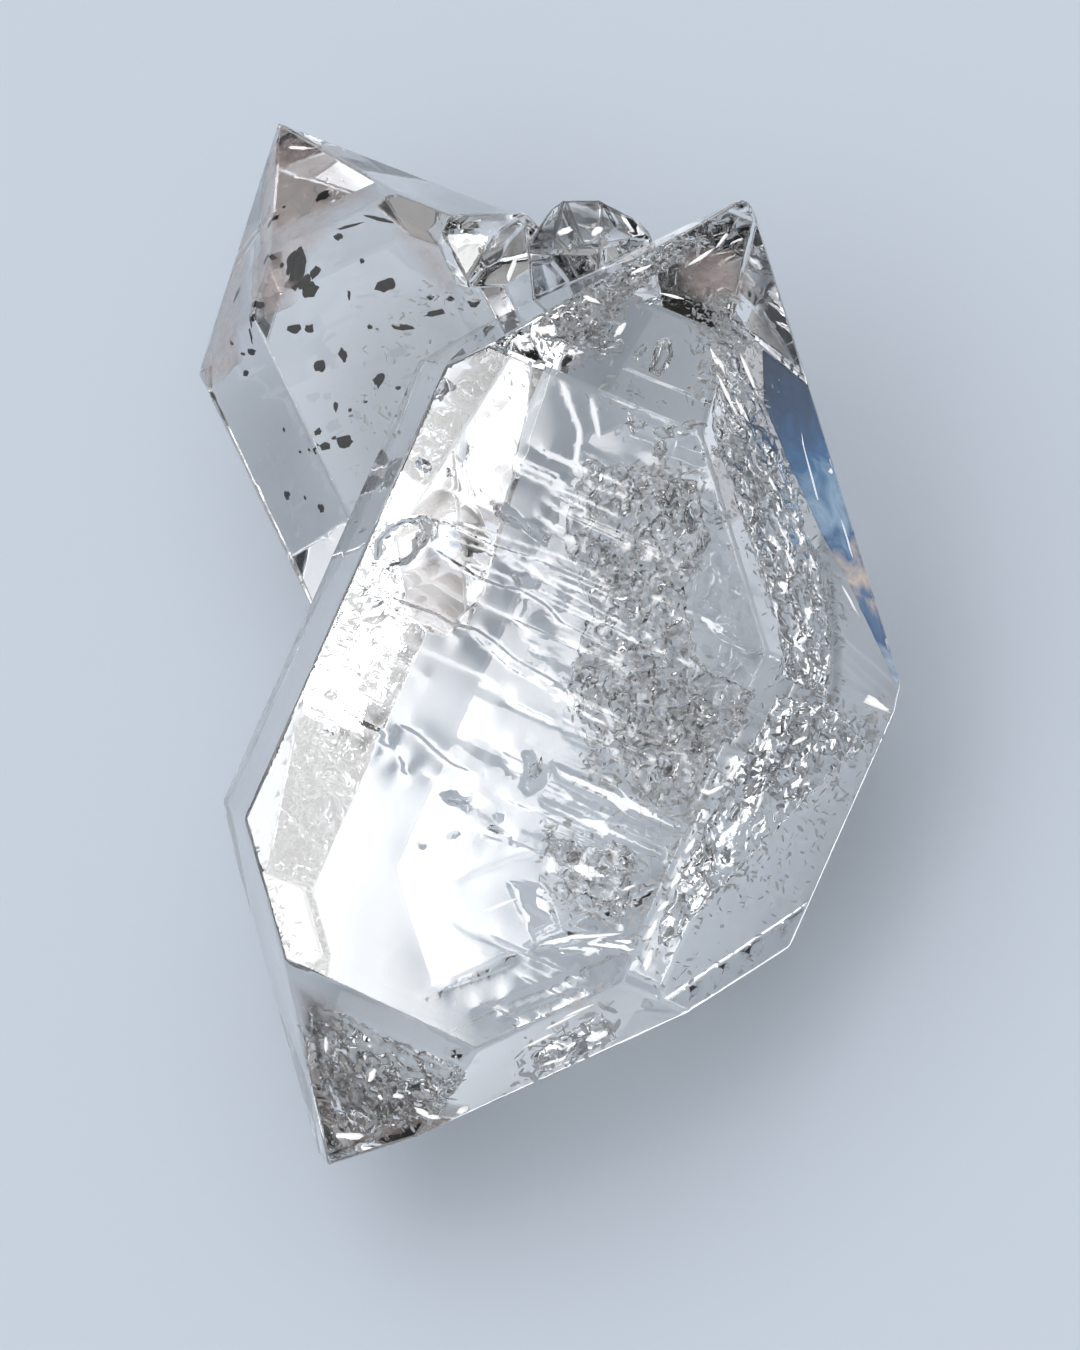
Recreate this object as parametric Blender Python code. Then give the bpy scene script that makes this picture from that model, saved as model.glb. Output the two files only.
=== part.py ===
"""Petroleum quartz: two stout double-ended crystals and two buds, grown together into one solid.

Each crystal is a block cut down by its own crystal faces. Its faces follow quartz: six prism faces,
60 degrees apart, and six terminal faces at each end, whose normals stand 51.8 degrees off the axis.
What makes one crystal differ from the next is how far each face lies from its centre. The crystals
are set in the growth frame of the largest one: Y is its long axis, Z the normal of its broad prism
face and X its right side. The group is then turned to lie on its back, and its lowest corners are
worn to small flats, which it rests on.
"""
from math import cos, radians, sin
from collections import namedtuple

import bmesh
import bpy
from mathutils import Matrix, Vector

MM = 0.001

# Angle between the crystal axis and the normal of a terminal face
TERMINAL_NORMAL = radians(51.8)
SIDES = 6
# Edge of the block that a crystal is cut from, in mm, and the merge distance of a cut
BLOCK = 120.0
CUT_MERGE = 0.0001

# The direction, in the growth frame, that points up when the group lies on its back
REST_UP = Vector((-0.211, 0.191, 0.959)).normalized()
# Depth to which the lowest corners are worn flat, in mm
REST_WEAR = 0.6

# A corner facet: degrees round the axis from the first prism face, degrees of rise, distance in mm
Facet = namedtuple("Facet", "around rise distance")

# A crystal, in mm and degrees. Its axis leans from +Y towards -X and rises out of the XY plane.
# The first prism face is turned by roll from facing +Z, and the rest follow towards -X.
# prism, top and bottom are the six faces' distances from the centre, None where a face is missing.
Crystal = namedtuple("Crystal", "name centre lean rise roll prism top bottom facets")

LARGE = Crystal(
    name="quartz_cluster",
    centre=(0.6, 0.0, -0.5), lean=0.0, rise=0.0, roll=0.0,
    prism=(8.5, 11.5, 10.9, 8.5, 13.9, 14.7),
    top=(14.9, 16.2, 17.3, 16.0, 15.0, 14.8),
    bottom=(17.3, 16.4, 17.3, 17.0, 15.2, 18.7),
    facets=(),
)
UPPER = Crystal(
    name="upper_crystal",
    centre=(-16.5, 10.5, -10.35), lean=50.6, rise=5.0, roll=-16.0,
    prism=(6.0, 8.0, 8.0, 6.2, 8.0, 8.4),
    top=(9.6, 9.6, 9.6, 9.6, 9.6, 9.6),
    bottom=(10.5, 11.5, 11.5, 7.5, 7.5, 9.5),
    facets=(),
)
LEFT_BUD = Crystal(
    name="left_bud",
    centre=(-12.6, 18.4, -1.4), lean=-158.0, rise=38.0, roll=0.0,
    prism=(1.4, 3.2, 3.2, 1.9, 2.2, 1.9),
    top=(1.8, None, None, 2.4, None, None),
    bottom=(1.2, 2.4, 2.4, 2.4, 2.4, 1.4),
    facets=(Facet(around=90.0, rise=38.2, distance=1.9), Facet(around=-90.0, rise=38.2, distance=1.9)),
)
RIGHT_BUD = Crystal(
    name="right_bud",
    centre=(-7.2, 19.25, -3.5), lean=24.0, rise=22.0, roll=14.0,
    prism=(2.6, 3.2, 2.9, 2.6, 2.9, 2.9),
    top=(2.9, 3.5, 2.6, 1.6, 3.3, 3.3),
    bottom=(4.0, 4.0, 4.0, 4.0, 4.0, 4.0),
    facets=(),
)
CRYSTALS = (LARGE, UPPER, LEFT_BUD, RIGHT_BUD)


def crystal_axes(crystal):
    """The crystal's long axis, the direction its faces count from, and the side they count towards."""
    lean, rise = radians(crystal.lean), radians(crystal.rise)
    axis = Vector((-sin(lean) * cos(rise), cos(lean) * cos(rise), sin(rise)))
    front = Vector((0.0, 0.0, 1.0))
    front = (front - axis * front.dot(axis)).normalized()
    return axis, front, front.cross(axis)


def face_planes(crystal):
    """Outward normal and distance from the crystal's centre, in mm, of every face."""
    axis, front, left = crystal_axes(crystal)

    def outward(around):
        return front * cos(around) + left * sin(around)

    planes = []
    slope, spread = cos(TERMINAL_NORMAL), sin(TERMINAL_NORMAL)
    for side in range(SIDES):
        out = outward(radians(crystal.roll + side * 360.0 / SIDES))
        planes.append((out, crystal.prism[side]))
        planes.append((out * spread + axis * slope, crystal.top[side]))
        planes.append((out * spread - axis * slope, crystal.bottom[side]))
    for facet in crystal.facets:
        rise = radians(facet.rise)
        out = outward(radians(crystal.roll + facet.around))
        planes.append((out * cos(rise) + axis * sin(rise), facet.distance))
    return [plane for plane in planes if plane[1] is not None]


def cut(shape, point, normal):
    """Take off what lies beyond a plane and close the cut with one flat face."""
    everything = shape.verts[:] + shape.edges[:] + shape.faces[:]
    result = bmesh.ops.bisect_plane(
        shape, geom=everything, dist=CUT_MERGE, plane_co=point, plane_no=normal, clear_outer=True)
    rim = [item for item in result["geom_cut"] if isinstance(item, bmesh.types.BMEdge)]
    open_rim = [edge for edge in rim if edge.is_boundary]
    if open_rim:
        bmesh.ops.edgeloop_fill(shape, edges=open_rim)


def crystal_shape(crystal):
    """A block cut down by the crystal's faces, in the growth frame and in mm."""
    shape = bmesh.new()
    bmesh.ops.create_cube(shape, size=BLOCK)
    centre = Vector(crystal.centre)
    bmesh.ops.translate(shape, verts=shape.verts, vec=centre)
    for normal, distance in face_planes(crystal):
        cut(shape, centre + normal * distance, normal)
    return shape


def resting_turn():
    """The turn from the growth frame to the lying group, the long axis kept over +Y."""
    along = Vector((0.0, 1.0, 0.0))
    along = (along - REST_UP * along.dot(REST_UP)).normalized()
    return Matrix((along.cross(REST_UP), along, REST_UP)).to_4x4()


def lay_down(shapes):
    """Turn the crystals to the resting pose, wear their lowest corners flat and centre them."""
    for shape in shapes:
        bmesh.ops.transform(shape, matrix=resting_turn(), verts=shape.verts)
    points = [vertex.co for shape in shapes for vertex in shape.verts]
    low = Vector([min(point[side] for point in points) for side in range(3)])
    high = Vector([max(point[side] for point in points) for side in range(3)])
    middle = (low + high) / 2.0
    ground = Vector((middle.x, middle.y, low.z + REST_WEAR))
    for shape in shapes:
        bmesh.ops.translate(shape, verts=shape.verts, vec=-ground)
        cut(shape, Vector((0.0, 0.0, 0.0)), Vector((0.0, 0.0, -1.0)))


def quartz_material():
    """Clear glassy quartz with the faint warm grey of its oil inclusions."""
    material = bpy.data.materials.new("quartz")
    material.use_nodes = True
    shader = material.node_tree.nodes["Principled BSDF"]
    shader.inputs["Base Color"].default_value = (0.86, 0.87, 0.88, 1.0)
    shader.inputs["Roughness"].default_value = 0.05
    shader.inputs["Metallic"].default_value = 0.0
    shader.inputs["IOR"].default_value = 1.544
    shader.inputs["Transmission Weight"].default_value = 1.0
    return material


def crystal_object(crystal, shape, material):
    """One crystal as an object in metres."""
    bmesh.ops.scale(shape, verts=shape.verts, vec=(MM, MM, MM))
    bmesh.ops.recalc_face_normals(shape, faces=shape.faces)
    mesh = bpy.data.meshes.new(crystal.name)
    shape.to_mesh(mesh)
    shape.free()
    mesh.materials.append(material)
    piece = bpy.data.objects.new(crystal.name, mesh)
    bpy.context.scene.collection.objects.link(piece)
    return piece


def grow_together(body, other):
    """Join another crystal to the body, the other staying behind as a hidden guide."""
    other.hide_render = True
    other.display_type = "WIRE"
    join = body.modifiers.new(other.name, "BOOLEAN")
    join.operation = "UNION"
    join.solver = "EXACT"
    join.object = other


def main():
    for old in list(bpy.data.objects):
        bpy.data.objects.remove(old, do_unlink=True)
    material = quartz_material()
    shapes = [crystal_shape(crystal) for crystal in CRYSTALS]
    lay_down(shapes)
    body, *others = [
        crystal_object(crystal, shape, material) for crystal, shape in zip(CRYSTALS, shapes)]
    for other in others:
        grow_together(body, other)


main()
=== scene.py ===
"""The look of a petroleum quartz group: clear crystals with growth lines, veils and dark specks.

Everything is placed in the growth frame of the large crystal, in mm: Y is its long axis, Z the
normal of its broad face and X its right side. A place read off the photograph is a pixel, and it is
carried along the camera's ray to the crystal face that it lies on.
"""
from collections import namedtuple
from math import cos, pi, radians, sin, sqrt

import bmesh
import bpy
import numpy as np
from mathutils import Matrix, Vector, noise
from mathutils.bvhtree import BVHTree
from mathutils.geometry import delaunay_2d_cdt


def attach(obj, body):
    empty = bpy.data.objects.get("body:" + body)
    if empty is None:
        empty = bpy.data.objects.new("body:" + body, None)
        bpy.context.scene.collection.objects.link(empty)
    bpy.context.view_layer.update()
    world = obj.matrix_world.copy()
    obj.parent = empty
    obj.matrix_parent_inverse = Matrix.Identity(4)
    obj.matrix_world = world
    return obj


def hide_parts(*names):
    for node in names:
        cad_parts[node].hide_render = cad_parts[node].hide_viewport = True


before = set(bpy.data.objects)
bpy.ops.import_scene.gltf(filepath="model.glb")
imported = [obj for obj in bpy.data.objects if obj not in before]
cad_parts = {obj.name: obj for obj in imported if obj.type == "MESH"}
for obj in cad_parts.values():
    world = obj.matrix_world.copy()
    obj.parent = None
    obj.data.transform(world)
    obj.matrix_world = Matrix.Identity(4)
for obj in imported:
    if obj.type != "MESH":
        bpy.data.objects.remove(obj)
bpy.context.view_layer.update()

bl_info = {
    "name": "Petroleum quartz group",
    "version": (1, 0, 0),
    "blender": (4, 5, 0),
    "location": "3D View > Sidebar > Quartz",
    "description": "Clear quartz crystals with growth lines, veils and sealed specks",
    "category": "Add Mesh",
}

MM = 0.001
NODE = "quartz_cluster"
QUARTZ_IOR = 1.544

# How the group lies: the growth direction that points up, and where the growth frame's origin lies
REST_UP = Vector((-0.211, 0.191, 0.959)).normalized()
GROWTH_ORIGIN = Vector((6.471, 0.290, 11.833))
LONG_AXIS = Vector((0.0, 1.0, 0.0))
ALONG = (LONG_AXIS - REST_UP * LONG_AXIS.dot(REST_UP)).normalized()
TURN = Matrix((ALONG.cross(REST_UP), ALONG, REST_UP))

# The photograph: its size and scale, how the camera stands to the broad face, the film's height in
# mm and how often light may bounce
PHOTO_SIZE = (1080, 1350)
PIXELS_PER_MM = 20.8
CAMERA_DISTANCE = 300.0
CAMERA_SWING = radians(20.0)
CAMERA_ROLL = radians(24.0)
FILM = 36.0
LIGHT_BOUNCES = 6
VIEW = Vector((sin(CAMERA_SWING), 0.0, cos(CAMERA_SWING)))
LEVEL = Vector((cos(CAMERA_SWING), 0.0, -sin(CAMERA_SWING)))
PHOTO_RIGHT = LEVEL * cos(CAMERA_ROLL) + LONG_AXIS * sin(CAMERA_ROLL)
PHOTO_UP = LONG_AXIS * cos(CAMERA_ROLL) - LEVEL * sin(CAMERA_ROLL)
EYE = VIEW * CAMERA_DISTANCE


def to_world(point):
    """A point of the growth frame in mm, as a place in metres."""
    return (TURN @ Vector(point) + GROWTH_ORIGIN) * MM


def ray_to_plane(pixel, normal, offset):
    """Where the photograph's ray through a pixel meets a plane of the growth frame, in mm."""
    across = (pixel[0] - PHOTO_SIZE[0] / 2) / (PIXELS_PER_MM * CAMERA_DISTANCE)
    upward = (PHOTO_SIZE[1] / 2 - pixel[1]) / (PIXELS_PER_MM * CAMERA_DISTANCE)
    ray = PHOTO_RIGHT * across + PHOTO_UP * upward - VIEW
    return EYE + ray * ((offset - EYE.dot(normal)) / ray.dot(normal))


class Socket:
    """A socket in a node tree that adds Math nodes when it is used in an expression."""

    def __init__(self, tree, link):
        self.tree = tree
        self.link = link

    def __add__(self, other):
        return add_math(self.tree, "ADD", self, other)

    def __sub__(self, other):
        return add_math(self.tree, "SUBTRACT", self, other)

    def __mul__(self, other):
        return add_math(self.tree, "MULTIPLY", self, other)

    def __rsub__(self, other):
        return add_math(self.tree, "SUBTRACT", other, self)

    __radd__ = __add__
    __rmul__ = __mul__


def join(tree, value, slot):
    """Put a link, a number or a colour into a node's input."""
    if isinstance(value, Socket):
        tree.links.new(value.link, slot)
    else:
        slot.default_value = value


def add_math(tree, operation, first, second):
    """A Math node on two values, as a socket."""
    node = tree.nodes.new("ShaderNodeMath")
    node.operation = operation
    join(tree, first, node.inputs[0])
    join(tree, second, node.inputs[1])
    return Socket(tree, node.outputs[0])


class Nodes:
    """A node tree with one way to add a node."""

    def __init__(self, tree):
        self.tree = tree

    def node(self, kind, result=0, settings=None, **values):
        """A node of any kind: its settings first, then its sockets by name, _ standing for a space."""
        node = self.tree.nodes.new(kind)
        for key, value in (settings or {}).items():
            if key == "stops":
                set_stops(node.color_ramp, value)
            else:
                setattr(node, key, value)
        for key, value in values.items():
            join(self.tree, value, node.inputs[key.replace("_", " ")])
        return Socket(self.tree, node.outputs[result])


class Shader(Nodes):
    """A material with its main shader."""

    def __init__(self, name):
        self.material = bpy.data.materials.new(name)
        self.material.use_nodes = True
        super().__init__(self.material.node_tree)
        self.principled = self.tree.nodes["Principled BSDF"]
        self.material.cycles.emission_sampling = "NONE"

    def set(self, **values):
        """Set the main shader's sockets."""
        for key, value in values.items():
            join(self.tree, value, self.principled.inputs[key.replace("_", " ")])

    def place(self):
        return self.node("ShaderNodeTexCoord", "Object")

    def along(self, uv_map):
        """How far along a UV map's first direction a point lies."""
        where = self.node("ShaderNodeUVMap", 0, {"uv_map": uv_map})
        return self.node("ShaderNodeSeparateXYZ", 0, None, Vector=where)

    def cloudy(self, scale, detail=1.0, distortion=0.0):
        """Smooth noise over the piece."""
        return self.node(
            "ShaderNodeTexNoise", 0, None,
            Vector=self.place(), Scale=scale, Detail=detail, Distortion=distortion)


def set_stops(ramp, stops):
    """Give a colour ramp its stops, from (place, colour) pairs."""
    while len(ramp.elements) < len(stops):
        ramp.elements.new(0.5)
    for element, (place, colour) in zip(ramp.elements, stops):
        element.position = place
        element.color = colour


def grey(value):
    return (value, value, value, 1.0)


def linear(red, green, blue):
    """A colour read off the photograph, 0 to 255, as the renderer's linear colour."""
    def channel(value):
        value = value / 255.0
        return value / 12.92 if value <= 0.04045 else ((value + 0.055) / 1.055) ** 2.4
    return (channel(red), channel(green), channel(blue), 1.0)


class QuartzSettings(bpy.types.PropertyGroup):
    edge_wear: bpy.props.FloatProperty(
        name="Edge wear", description="How far the crystal edges are worn back",
        default=0.00005, unit="LENGTH", subtype="DISTANCE")
    body_colour: bpy.props.FloatVectorProperty(
        name="Body colour", description="Colour that light keeps on its way through the quartz",
        default=(1.0, 1.0, 1.0), subtype="COLOR", min=0.0, max=1.0)
    hollow_share: bpy.props.FloatProperty(
        name="Hollow share", description="Share of the tiny cracks that are hollow",
        default=0.60, min=0.0, max=1.0, subtype="FACTOR")
    dark_share: bpy.props.FloatProperty(
        name="Dark share", description="Share of the tiny cracks that are stained dark",
        default=0.20, min=0.0, max=1.0, subtype="FACTOR")


class StageSettings(bpy.types.PropertyGroup):
    floor_colour: bpy.props.FloatVectorProperty(
        name="Floor colour", description="Colour of the plain pale floor",
        default=linear(206, 214, 223)[:3], subtype="COLOR", min=0.0, max=1.0)
    window_strength: bpy.props.FloatProperty(
        name="Window strength", description="Brightness of the soft window that the broad face mirrors",
        default=14.5, min=0.0)


BROAD_OFFSET = 8.0
BROAD_PLANE = (Vector((0.0, 0.0, 1.0)), BROAD_OFFSET)

# How finely the surface is divided, in mm: along edges, along lines, on any face, on the broad face
EDGE_STEP = 0.22
ROW_STEP = 0.20
GRID_STEP = 0.48
BROAD_STEP = 0.26
# The distance of a grid's rows, as a share of the distance of its points
HEX_ROW = 0.866
# The cell in which points count as one, and the merge distance of a triangulation, in mm
SAME_POINT = 0.036
CDT_MERGE = 1e-6
# The merge distance of the CAD solid's corners, in metres
CAD_MERGE = 0.000002
# Rows of points beside a growth line, in half widths of it
GROOVE_ROWS = (-1.6, -0.55, 0.55, 1.6)
# Distance over which the step at a growth line levels out beside it, and towards its ends, in mm
STEP_REACH = 0.7
STEP_END = 0.6
# How far outside the outline a triangle's middle may lie, and the width of a pit's wall, in mm
SLIVER = 0.0005
PIT_WALL = 0.09
# How far below the surface a sealed thing keeps, and the least gap of an open crack, in mm
SEAL_MARGIN = 0.12
LEAST_GAP = 0.02
# Rows of points beside a crystal edge, in mm, and how near to it others come, as a share of the first
EDGE_ROWS = (0.10, 0.19)
EDGE_CLEAR = 0.8
# Distance over which relief fades out towards a crystal edge, in mm, and the share of it left flat
RELIEF_FADE = 0.16
FLAT_SHARE = 0.6
# How alike two planes' normals are when the planes count as one, how far apart in mm their offsets
# may lie, and how far off a face's slope to its axis may be
SAME_PLANE = cos(radians(1.0))
SAME_OFFSET = 0.1
SAME_SLOPE = 0.01

# The crystals' long axes, largest first, as lean from +Y towards -X and rise out of the XY plane
CRYSTAL_AXES = ((0.0, 0.0), (50.6, 5.0), (-158.0, 38.0), (24.0, 22.0))
PRISM, TERMINAL, OTHER, BROAD = "prism", "terminal", "other", "broad"
TERMINAL_LEAN = cos(radians(51.8))

# A flat face of the solid: its plane, its own directions and its outline as pairs of vertices
Plane = namedtuple("Plane", "normal offset across upward outline kind")
# A growth line on a face: its course in the face's own directions, its half width and its step
Groove = namedtuple("Groove", "points width depth")


def crystal_axis(lean, rise):
    lean, rise = radians(lean), radians(rise)
    return Vector((-sin(lean) * cos(rise), cos(lean) * cos(rise), sin(rise)))


def face_kind(normal, offset):
    """What kind of crystal face a plane is, and the axis of the crystal it belongs to."""
    if normal.z > SAME_PLANE and abs(offset - BROAD_OFFSET) < SAME_OFFSET:
        return BROAD, LONG_AXIS
    if normal.dot(-REST_UP) > SAME_PLANE:
        return OTHER, LONG_AXIS
    for lean, rise in CRYSTAL_AXES:
        axis = crystal_axis(lean, rise)
        slope = abs(normal.dot(axis))
        if slope < SAME_SLOPE:
            return PRISM, axis
        if abs(slope - TERMINAL_LEAN) < SAME_SLOPE:
            return TERMINAL, axis
    return OTHER, LONG_AXIS


def flat_planes(shape):
    """The solid's flat faces: neighbouring triangles of one plane are gathered into one."""
    shape.faces.ensure_lookup_table()
    left = set(range(len(shape.faces)))
    planes = []
    while left:
        first = shape.faces[min(left)]
        group, queue = {first.index}, [first]
        while queue:
            face = queue.pop()
            for edge in face.edges:
                for other in edge.link_faces:
                    if other.index not in group and other.normal.dot(first.normal) > SAME_PLANE:
                        group.add(other.index)
                        queue.append(other)
        left -= group
        normal = sum((shape.faces[i].normal * shape.faces[i].calc_area() for i in group), Vector())
        normal.normalize()
        offset = normal.dot(first.verts[0].co)
        outline = [
            (edge.verts[0].index, edge.verts[1].index)
            for i in group for edge in shape.faces[i].edges
            if sum(other.index in group for other in edge.link_faces) == 1]
        kind, axis = face_kind(normal, offset)
        across = axis.cross(normal).normalized()
        planes.append(Plane(normal, offset, across, normal.cross(across), outline, kind))
    return planes


def segment_distance(points, starts, ends):
    """Distance from each point to the nearest of the segments, in the face's own directions."""
    nearest = np.full(len(points), 1e9)
    for start, end in zip(starts, ends):
        along = end - start
        share = ((points - start) @ along) / max(float(along @ along), 1e-12)
        away = points - (start + np.clip(share, 0.0, 1.0)[:, None] * along)
        nearest = np.minimum(nearest, np.hypot(away[:, 0], away[:, 1]))
    return nearest


def inside(points, starts, ends):
    """Which points lie inside an outline, holes left out, by counting crossings."""
    count = np.zeros(len(points), int)
    for (x0, y0), (x1, y1) in zip(starts, ends):
        if y0 == y1:
            continue
        crosses = (points[:, 1] >= min(y0, y1)) & (points[:, 1] < max(y0, y1))
        at = x0 + (points[:, 1] - y0) * (x1 - x0) / (y1 - y0)
        count += crosses & (points[:, 0] < at)
    return count % 2 == 1


def walk(points, step):
    """Points along a line at even steps, with the direction there."""
    places, ways = [], []
    for start, end in zip(points[:-1], points[1:]):
        run = end - start
        length = float(np.hypot(*run))
        if length < 1e-6:
            continue
        count = max(1, round(length / step))
        for k in range(count):
            places.append(start + run * (k + 0.5) / count)
            ways.append(run / length)
    return np.array(places).reshape(-1, 2), np.array(ways).reshape(-1, 2)


def rows_beside(points, offsets, step):
    """Rows of points on both sides of a line, at given distances from it."""
    places, ways = walk(points, step)
    sideways = np.stack([-ways[:, 1], ways[:, 0]], 1)
    return np.concatenate([places + sideways * offset for offset in offsets])


def hex_grid(low, high, step):
    """A grid of points in even triangles that covers a rectangle."""
    rows = []
    for k, y in enumerate(np.arange(low[1], high[1], step * HEX_ROW)):
        xs = np.arange(low[0] + (k % 2) * step / 2, high[0], step)
        rows.append(np.stack([xs, np.full(len(xs), y)], 1))
    return np.concatenate(rows) if rows else np.zeros((0, 2))


def thin_out(points):
    """Keep the first of any points that share a small cell."""
    cells = np.round(points / SAME_POINT).astype(int)
    _, first = np.unique(cells, axis=0, return_index=True)
    return points[np.sort(first)]


def wear_noise(point):
    """A smooth number from 0 to 1 that differs from place to place."""
    return 0.5 + 0.5 * noise.noise(point * 0.9) + 0.35 * noise.noise(point * 3.1 + Vector((7.0, 1.0, 4.0)))


class Surface:
    """The fine surface under construction: points and triangles shared by all its faces."""

    def __init__(self, shape):
        self.points = [vertex.co.copy() for vertex in shape.verts]
        self.normals = [[] for _ in self.points]
        self.triangles = []
        self.chains = {}

    def chain(self, start, end):
        """The points along a crystal edge, made once and shared by the faces on both sides."""
        key = (min(start, end), max(start, end))
        if key not in self.chains:
            first, last = self.points[key[0]], self.points[key[1]]
            count = max(1, round((last - first).length / EDGE_STEP))
            made = [key[0]]
            for k in range(1, count):
                made.append(len(self.points))
                self.points.append(first.lerp(last, k / count))
                self.normals.append([])
            self.chains[key] = made + [key[1]]
        return self.chains[key]

    def add_plane(self, plane, grooves, height, step):
        """Divide one flat face, push its inner points by its relief and keep its rim in place."""
        def flat(index):
            return self.points[index].dot(plane.across), self.points[index].dot(plane.upward)

        rim, edges = {}, []
        for start, end in plane.outline:
            chain = self.chain(start, end)
            for index in chain:
                rim.setdefault(index, len(rim))
            edges += [(rim[a], rim[b]) for a, b in zip(chain[:-1], chain[1:])]
        for index in rim:
            self.normals[index].append(plane.normal)
        starts = np.array([flat(a) for a, _ in plane.outline])
        ends = np.array([flat(b) for _, b in plane.outline])
        rim_points = np.array([flat(index) for index in rim])
        spread = [rows_beside(groove.points, [groove.width * row for row in GROOVE_ROWS], ROW_STEP)
                  for groove in grooves]
        offsets = [side * row for row in EDGE_ROWS for side in (-1, 1)]
        spread += [rows_beside(np.array([a, b]), offsets, EDGE_STEP) for a, b in zip(starts, ends)]
        spread.append(hex_grid(rim_points.min(0), rim_points.max(0), step))
        inner = thin_out(np.concatenate(spread))
        inner = inner[inside(inner, starts, ends)]
        away = segment_distance(inner, starts, ends)
        keep = away > EDGE_ROWS[0] * EDGE_CLEAR
        inner, away = inner[keep], away[keep]
        fade = np.clip(away / RELIEF_FADE - FLAT_SHARE, 0.0, 1.0)
        lift = height(inner, grooves) * fade * fade * (3 - 2 * fade)
        every = [Vector(place) for place in np.concatenate([rim_points, inner])]
        made = delaunay_2d_cdt(every, edges, [], 1, CDT_MERGE)
        places, faces, origins = made[0], made[2], made[3]
        names = list(rim)
        index_of = []
        for place, origin in zip(places, origins):
            source = origin[0]
            if source < len(names):
                index_of.append(names[source])
                continue
            point = plane.across * place.x + plane.upward * place.y
            point += plane.normal * (plane.offset + lift[source - len(names)])
            index_of.append(len(self.points))
            self.points.append(point)
            self.normals.append([])
        middles = np.array([sum((places[i] for i in face), Vector((0, 0))) / 3 for face in faces])
        kept = inside(middles, starts, ends) | (segment_distance(middles, starts, ends) < SLIVER)
        self.triangles += [[index_of[i] for i in face] for face, keep in zip(faces, kept) if keep]

    def wear(self, amount):
        """Draw the crystal edges in a little, more in some places than in others."""
        for point, normals in zip(self.points, self.normals):
            if len(normals) > 1:
                inward = -sum(normals, Vector()).normalized()
                point += inward * amount * (0.5 + wear_noise(point))

    def to_shape(self):
        shape = bmesh.new()
        verts = [shape.verts.new(point) for point in self.points]
        for triangle in self.triangles:
            if len(set(triangle)) == 3 and not shape.faces.get([verts[i] for i in triangle]):
                shape.faces.new([verts[i] for i in triangle]).smooth = True
        return shape


def beside(points, line):
    """Distance from each point to a line, below zero on its right, and how near the line's end is."""
    nearest = np.full(len(points), 1e9)
    side = np.ones(len(points))
    place = np.zeros(len(points))
    done = 0.0
    for start, end in zip(line[:-1], line[1:]):
        along = end - start
        length = max(float(np.hypot(*along)), 1e-9)
        share = np.clip(((points - start) @ along) / length ** 2, 0.0, 1.0)
        away = points - (start + share[:, None] * along)
        distance = np.hypot(away[:, 0], away[:, 1])
        turn = along[0] * (points[:, 1] - start[1]) - along[1] * (points[:, 0] - start[0])
        closer = distance < nearest
        side = np.where(closer, np.sign(turn), side)
        place = np.where(closer, done + share * length, place)
        nearest = np.where(closer, distance, nearest)
        done += length
    return nearest * side, np.minimum(place, done - place)


def relief(points, grooves):
    """Height of the growth steps at each point: sharp at their lines, level again beside them."""
    height = np.zeros(len(points))
    for groove in grooves:
        low = groove.points.min(0) - STEP_REACH * 2
        high = groove.points.max(0) + STEP_REACH * 2
        near = np.all((points > low) & (points < high), axis=1)
        if groove.depth and near.any():
            away, end = beside(points[near], groove.points)
            step = np.tanh(away / groove.width) * np.exp(-(away / STEP_REACH) ** 2)
            height[near] += groove.depth / 2 * step * np.clip(end / STEP_END, 0.0, 1.0)
    return height


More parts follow.
